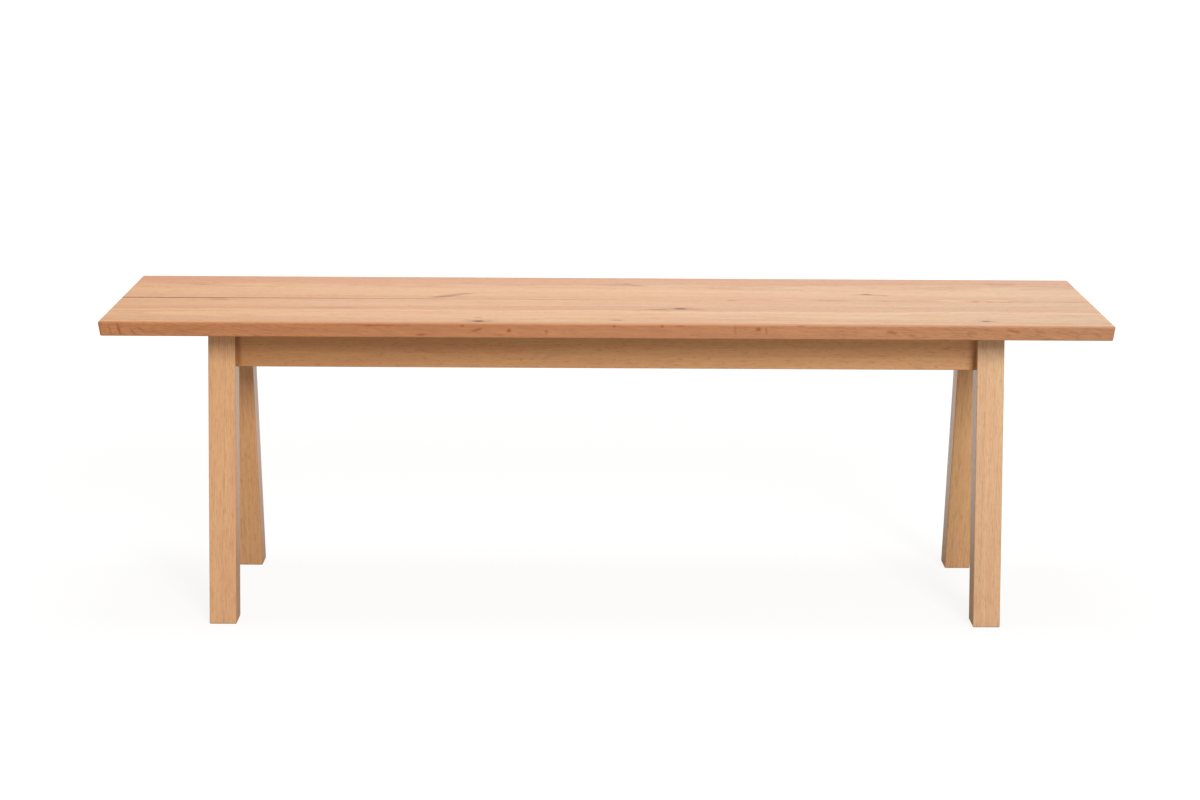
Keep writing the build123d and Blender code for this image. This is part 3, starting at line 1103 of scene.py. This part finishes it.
@dataclass(frozen=True)
class Screws:
    """The ten countersunk screws: eight through the buttons and two through the bearer.

    Lengths are in millimetres. A screw is modelled with its head's face at height zero
    and its tip up.

    Attributes:
        button_heads: Middle of the heads in the buttons, for one quarter of the bench.
        bearer_head: Middle of one of the heads in the bearer.
        length, tip: Length from the head's face to the tip, and of the pointed end.
        head, cone, bevel: Radius and height of the head, and width of its rim's bevel.
        rim: Heights between which the head's rim is straight.
        shank, core: Radius of the plain shank and the thread's crest, and of its root.
        thread_start, pitch: Height at which the thread begins, and its rise in one turn.
        ridge: Width of the thread's ridge as a share of its pitch.
        ends: How far the thread's first and last rows lie inside its two ends.
        recess, arm: Depth of the cross recess, and half the length and width of its arms.
        walls: The recess's width and depth at each row of its walls, as shares of them.
        middle: Depth of the recess at its middle, as a share of its depth.
        face: Share of the way from the recess to the rim at each row of the head's face.
        around, rows: Points around the screw, in four equal quarters, and rows in a turn.
    """

    button_heads: tuple[Triple, ...] = ((280.5, 55.03, 430.7), (560.0, 32.0, 430.7))
    bearer_head: Triple = (0.0, 38.0, 430.0)
    length: float = 32.5
    tip: float = 4.0
    head: float = 4.1
    cone: float = 2.6
    bevel: float = 0.25
    rim: tuple[float, float] = (0.15, 0.3)
    shank: float = 2.0
    core: float = 1.4
    thread_start: float = 9.0
    pitch: float = 1.8
    ridge: float = 0.625
    ends: tuple[float, float] = (0.25, 0.2)
    recess: float = 1.7
    arm: tuple[float, float] = (2.3, 0.5)
    walls: tuple[tuple[float, float], ...] = ((0.3, 1.0), (0.7, 0.75), (0.92, 0.3))
    middle: float = 1.15
    face: tuple[float, ...] = (0.0, 0.12, 0.5)
    around: int = 48
    rows: int = 6

    def cross(self) -> np.ndarray:
        """Outline of the cross recess.

        One arm runs out along its lower side, across its end and back along its upper
        side. The other three are the same arm turned by quarter turns.

        Returns:
            Points in order, starting at the corner before the first arm.
        """
        long, wide = self.arm
        steps = self.around // 12
        out, side = np.linspace(wide, long, steps + 1)[:-1], np.linspace(-wide, wide, steps + 1)[:-1]
        x = np.concatenate((out, np.full(steps, long), (out[::-1] + (long - wide) / steps)))
        y = np.concatenate((np.full(steps, -wide), side, np.full(steps, wide)))
        turns = np.arange(4) * math.pi / 2
        cosine, sine = np.cos(turns)[:, None], np.sin(turns)[:, None]
        return np.stack((x * cosine - y * sine, x * sine + y * cosine), axis=-1).reshape(-1, 2)

    def shaft(self) -> tuple[np.ndarray, np.ndarray]:
        """Radii and heights of the head's rim, its cone and the threaded shank.

        The thread is a ridge whose middle climbs by one pitch per turn. Its height over
        the core falls in a straight line to both sides, and grows from nothing over the
        first turn. Towards the tip the radius shrinks to zero in a straight line.

        Returns:
            Radius by row and angle, and height by row.
        """
        angle = -math.pi / 4 + np.arange(self.around) * math.tau / self.around
        low, high = self.rim
        plain = np.array(((self.head - self.bevel, 0.0), (self.head, low), (self.head, high),
                          (self.shank, self.cone), (self.shank, self.thread_start)))
        first, last = self.thread_start + self.ends[0], self.length - self.ends[1]
        height = np.arange(first, last, self.pitch / self.rows)
        phase = (height[:, None] / self.pitch - angle / math.tau) % 1.0
        ridge = np.clip(1.0 - np.abs(phase - 0.5) / (self.ridge / 2), 0.0, 1.0)
        start = np.clip((self.thread_start + self.pitch - height) / self.pitch, 0.0, 1.0)[:, None]
        core = self.core + (self.shank - self.core) * start
        radius = core + (self.shank - core) * ridge
        radius *= np.clip((self.length - height) / self.tip, 0.0, 1.0)[:, None]
        return (np.vstack((np.repeat(plain[:, :1], self.around, axis=1), radius)),
                np.concatenate((plain[:, 1], height)))

    def screw(self) -> tuple[np.ndarray, np.ndarray, np.ndarray]:
        """One screw as rings of points between two end points.

        The first rings go from the bottom of the recess up its sloping walls and across
        the head's face, where the cross outline turns into a circle by straight mixing.

        Returns:
            Its points, four-sided faces and three-sided faces.
        """
        cross = self.cross()
        angle = -math.pi / 4 + np.arange(self.around) * math.tau / self.around
        circle = np.stack((np.cos(angle), np.sin(angle)), axis=-1)
        width, depth = np.array(self.walls).T
        share = np.array(self.face)[:, None, None]
        face = cross * (1 - share) + circle * (self.head - self.bevel) * share
        radius, height = self.shaft()
        outlines = (width[:, None, None] * cross, face, radius[..., None] * circle)
        heights = np.concatenate((depth * self.recess, np.zeros(len(face)), height))
        sides = np.column_stack(
            (np.concatenate(outlines).reshape(-1, 2), np.repeat(heights, self.around)))
        points = np.vstack((sides, (0, 0, self.recess * self.middle), (0, 0, self.length)))
        index = np.arange(len(sides)).reshape(-1, self.around)
        after = np.roll(index, -1, axis=1)
        quads = np.stack((index[:-1], index[1:], after[1:], after[:-1]), axis=-1).reshape(-1, 4)
        bottom, tip = len(sides), len(sides) + 1
        triangles = np.vstack((
            np.stack((np.full(self.around, bottom), index[0], after[0]), axis=-1),
            np.stack((index[-1], np.full(self.around, tip), after[-1]), axis=-1)))
        return points, quads, triangles

    def build(self) -> None:
        """Makes one mesh of all ten screws and puts it in the plain screws' place."""
        sides = ((-1, -1, 1), (-1, 1, 1), (1, -1, 1), (1, 1, 1))
        quarters = [np.multiply(head, side) for head in self.button_heads for side in sides]
        bearer = [np.multiply(self.bearer_head, side) for side in sides[-1:-3:-1]]
        heads = np.array(quarters + bearer)
        points, quads, triangles = self.screw()
        shift = np.arange(len(heads))[:, None, None] * len(points)
        mesh = bpy.data.meshes.new("threaded_screws")
        mesh.from_pydata(
            ((points + heads[:, None]) * MILLIMETRE).reshape(-1, 3).tolist(), [],
            (quads + shift).reshape(-1, 4).tolist() + (triangles + shift).reshape(-1, 3).tolist())
        mesh.materials.append(SteelMaterial().material)
        mesh.update()
        screws = placed("threaded_screws", mesh)
        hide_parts("seat_screws")
        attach(screws, "root")
        log.info("made %d screws of %d faces", len(heads), len(quads) + len(triangles))


@dataclass(frozen=True)
class StudioCamera:
    """The camera at the photograph's place and angle."""

    place: Triple = (-0.02869, -3.74566, 1.18747)
    yaw: float = 0.302
    pitch: float = -13.15
    roll: float = 0.362
    lens: float = 73.77
    sensor: float = 36.0
    reach: float = 200.0

    def build(self) -> None:
        """Adds the camera: rolled about its own axis, tipped up from straight down, then swung."""
        data = bpy.data.cameras.new("studio_camera")
        data.lens, data.sensor_width, data.clip_end = self.lens, self.sensor, self.reach
        pose = Matrix.Translation(self.place)
        for angle, axis in ((-self.yaw, "Z"), (90 + self.pitch, "X"), (self.roll, "Z")):
            pose = pose @ Matrix.Rotation(math.radians(angle), 4, axis)
        camera = placed("studio_camera", data)
        camera.matrix_world = pose
        bpy.context.scene.camera = camera
        log.info("camera at %s with a %.1f mm lens", self.place, self.lens)


@dataclass(frozen=True)
class Softbox:
    """One large soft lamp that points at the bench."""

    name: str
    place: Triple
    size: tuple[float, float]
    power: float
    aim: Triple = (0.0, 0.0, 0.4)

    def build(self) -> None:
        """Adds the lamp."""
        data = bpy.data.lights.new(self.name, "AREA")
        data.shape = "RECTANGLE"
        data.size, data.size_y = self.size
        data.energy = self.power
        direction = Vector(self.aim) - Vector(self.place)
        turn = direction.to_track_quat("-Z", "Y").to_matrix().to_4x4()
        placed(self.name, data).matrix_world = Matrix.Translation(self.place) @ turn
        log.info("lamp %s", self.name)


@dataclass(frozen=True)
class Studio:
    """The pale floor, the white surroundings and the lamps.

    A name that starts with floor is for the floor as the bench and the camera see it,
    and one that starts with mirrored is for the floor in a reflection. Each glow rises
    between the two distances named from, in metres.
    """

    floor_reach: float = 40.0
    floor_colour: Triple = (0.37, 0.36, 0.335)
    floor_glow: float = 0.86
    floor_share: float = 0.16
    mirrored_colour: Triple = (0.55, 0.55, 0.54)
    mirrored_glow: tuple[float, float] = (0.05, 0.5)
    mirrored_from: tuple[float, float] = (0.2, 0.9)
    glow_from: tuple[float, float] = (1.0, 3.0)
    sky_light: Triple = (0.53, 0.515, 0.48)
    sky_gloss: float = 0.85
    lamps: tuple[Softbox, ...] = (
        Softbox("key_lamp", (2.3, -6.9, 3.95), (2.4, 2.6), 412.0),
        Softbox("top_lamp", (0.0, 0.1, 3.4), (1.6, 1.2), 35.0),
        Softbox("back_lamp", (0.6, 5.0, 1.2), (4.0, 1.6), 20.0),
    )

    def glowing(self, graph: Graph, colour: Triple, glow: Value) -> Socket:
        """A plain surface that also glows."""
        plain = graph.node("BsdfDiffuse", {"Color": colour})
        light = graph.node("Emission", {"Strength": glow})
        return graph.node("AddShader", {0: plain.outputs[0], 1: light.outputs[0]}).outputs[0]

    def path(self, graph: Graph) -> tuple[Socket, Socket]:
        """Where a surface is seen directly or through glass, and where in a reflection."""
        path = graph.node("LightPath").outputs
        direct = graph.math("MAXIMUM", path["Is Camera Ray"], path["Is Transmission Ray"])
        return direct, path["Is Glossy Ray"]

    def floor(self) -> None:
        """Lays a square floor at height zero.

        It passes light on as a plain surface. Seen directly it also glows, so that it is
        white and the bench's shadow on it faint, and more so away from the bench, where
        the lamps reach less. A reflection sees a darker floor with its whole shadow,
        which brightens behind the bench like one that sweeps up into a white backdrop.
        """
        corners = np.array(((-1, -1, 0), (1, -1, 0), (1, 1, 0), (-1, 1, 0))) * self.floor_reach
        mesh = bpy.data.meshes.new("studio_floor")
        mesh.from_pydata(corners.tolist(), [], [(0, 1, 2, 3)])
        material, graph = new_material("studio_floor")
        mesh.materials.append(material)
        direct, reflected = self.path(graph)
        place = graph.surface_place()
        behind = graph.rise(graph.split(place)[1], *self.mirrored_from, *self.mirrored_glow)
        near = graph.vector("LENGTH", place)
        glow = graph.rise(near, *self.glow_from, self.floor_glow, 1.0)
        surface = self.glowing(graph, self.floor_colour, 0.0)
        for share, colour, own in ((reflected, self.mirrored_colour, behind),
                                   (direct, (self.floor_share,) * 3, glow)):
            other = self.glowing(graph, colour, own)
            surface = graph.node("MixShader", {0: share, 1: surface, 2: other}).outputs[0]
        graph.node("OutputMaterial", {"Surface": surface})
        floor = placed("studio_floor", mesh)
        log.info("laid the floor")

    def surroundings(self) -> None:
        """Makes the world white where it is seen, and a plain soft light elsewhere."""
        world = bpy.data.worlds.new("studio_world")
        world.use_nodes = True
        graph = Graph(world.node_tree)
        direct, reflected = self.path(graph)
        colour = graph.mix(reflected, self.sky_light, (self.sky_gloss,) * 3)
        colour = graph.mix(direct, colour, (1.0, 1.0, 1.0))
        background = graph.node("Background", {"Color": colour})
        graph.node("OutputWorld", {"Surface": background.outputs[0]})
        bpy.context.scene.world = world
        log.info("made the surroundings")

    def build(self) -> None:
        """Builds the floor, the surroundings and the lamps."""
        self.floor()
        self.surroundings()
        for lamp in self.lamps:
            lamp.build()
        bpy.context.scene.view_settings.view_transform = "Standard"


def main() -> None:
    """Builds the bench's sub-assemblies and the studio in order."""
    logging.basicConfig(level=logging.INFO, format="%(name)s: %(message)s")
    for part in (StudioCamera(), Studio(), Seat(), LegFrame(), TurnButtons(), Screws()):
        part.build()


if __name__ == "__main__":
    main()
